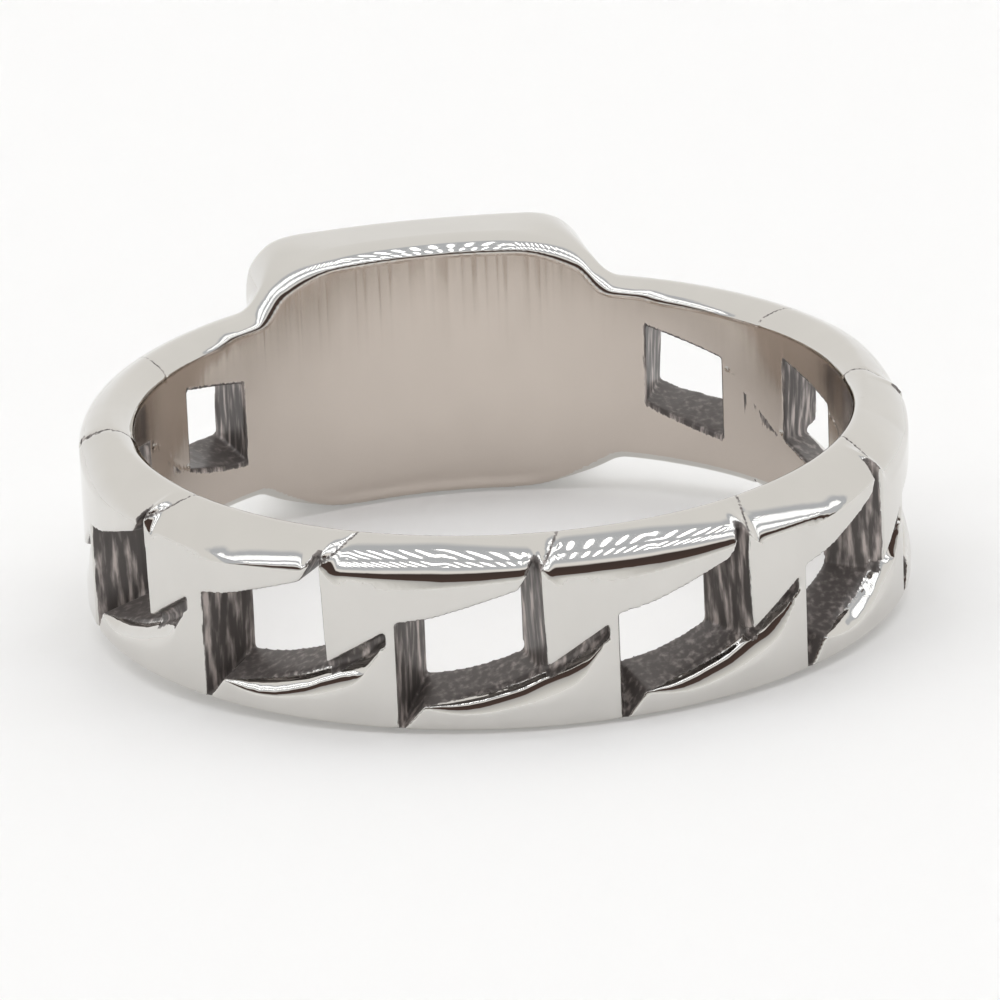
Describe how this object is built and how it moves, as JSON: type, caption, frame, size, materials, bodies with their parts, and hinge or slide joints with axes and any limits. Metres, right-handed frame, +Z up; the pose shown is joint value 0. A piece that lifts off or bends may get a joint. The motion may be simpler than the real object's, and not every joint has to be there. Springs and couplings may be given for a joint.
{
  "type": "chain link ring",
  "caption": "Cast metal finger ring: an openwork curb chain band with slanted windows and grooves, and a plain cushion-shaped signet plate.",
  "frame": {"origin": "centre of the underside of the ring's box, on the surface that the ring lies on", "axes": "+Z up from the surface; +Y towards the signet plate; X across the plate's width"},
  "size_m": [0.023, 0.0244, 0.0077],
  "materials": {
    "polished_steel": "polished"
  },
  "bodies": {
    "root": {"ring": "polished_steel"}
  },
  "joints": []
}
